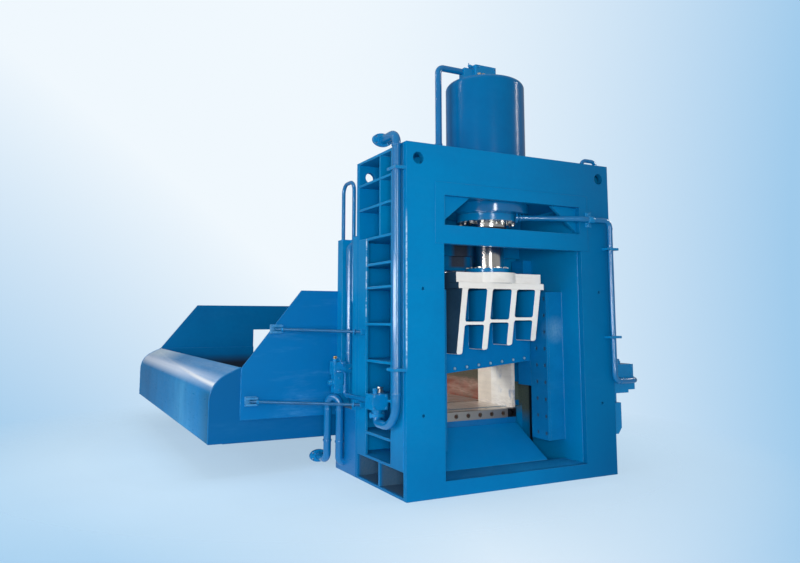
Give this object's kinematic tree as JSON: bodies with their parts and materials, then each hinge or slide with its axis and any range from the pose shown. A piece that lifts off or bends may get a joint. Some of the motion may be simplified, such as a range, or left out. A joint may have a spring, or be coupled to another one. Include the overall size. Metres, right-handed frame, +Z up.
{
  "type": "box shear",
  "caption": "Hydraulic box shear: gantry frame with a raked blade slide under a top cylinder, a hold-down press behind it and a long charging box with a rounded loading lip.",
  "frame": {"origin": "on the floor under the axis of the shear cylinder", "axes": "+X to the right along the front plate, +Y from the front plate to the charging box, +Z up"},
  "size_m": [4.075, 7.01, 4.182],
  "materials": {
    "blue_paint": "glossy mid-blue machine enamel",
    "white_paint": "off-white enamel",
    "chrome": "hard chrome, polished",
    "machined_steel": "turned steel",
    "blade_steel": "worn bare tool steel",
    "worn_steel": "scuffed and lightly rusted plate",
    "dark_steel": "blackened bolt steel",
    "bronze": "plain bearing bronze",
    "black_rubber": "moulded rubber"
  },
  "bodies": {
    "frame": {"anvil": "blue_paint", "base_plate": "blue_paint", "box_cheeks": "blue_paint", "box_diaphragms": "blue_paint", "box_floor": "worn_steel", "box_right_wall": "blue_paint", "box_sleepers": "blue_paint", "channel_liners": "blade_steel", "corner_gussets": "blue_paint", "cylinder_barrel": "blue_paint", "cylinder_gland": "blue_paint", "discharge_chute": "blue_paint", "front_plate": "blue_paint", "gland_bolts": "dark_steel", "guide_blocks": "blue_paint", "guide_liner_bolts": "dark_steel", "guide_liners": "blue_paint", "guide_wear_strips": "bronze", "hold_down_barrel": "blue_paint", "hold_down_bolts": "dark_steel", "hold_down_bush": "bronze", "hold_down_pipes": "blue_paint", "left_oil_pipe": "blue_paint", "left_valve_block": "blue_paint", "lifting_loop": "blue_paint", "lip_end_plates": "blue_paint", "loading_lip": "blue_paint", "lower_blade": "blade_steel", "lower_blade_bolts": "dark_steel", "lower_blade_stop": "dark_steel", "pipe_clamps": "blue_paint", "port_flanges": "blue_paint", "portal_beam": "blue_paint", "portal_columns": "blue_paint", "rear_bed": "blue_paint", "rear_guide_bars": "blue_paint", "rear_oil_pipe": "blue_paint", "rear_plate": "blue_paint", "rear_valve_block": "blue_paint", "right_oil_pipe": "blue_paint", "right_side_box": "blue_paint", "right_valve_block": "blue_paint", "rod_wiper": "black_rubber", "side_columns": "blue_paint", "stay_brackets": "blue_paint", "stay_rods": "blue_paint", "top_beam": "blue_paint", "top_oil_pipe": "blue_paint", "top_valve_block": "blue_paint"},
    "shear_slide": {"slide_plate": "blue_paint", "slide_ribs": "white_paint", "slide_crown": "white_paint", "upper_blade": "blade_steel", "upper_blade_bolts": "dark_steel", "rod_flange": "blue_paint", "rod_flange_bolts": "dark_steel", "piston_rod": "chrome", "piston": "machined_steel"},
    "hold_down": {"hold_down_rod": "chrome", "hold_down_platen": "blue_paint"}
  },
  "joints": [
    {"name": "shear_stroke", "type": "slide", "parent": "frame", "child": "shear_slide", "axis": [0, 0, 1], "range_m": [-0.536, 0.37]},
    {"name": "hold_down_stroke", "type": "slide", "parent": "frame", "child": "hold_down", "axis": [0, 0, 1], "range_m": [-0.585, 0.08]}
  ]
}
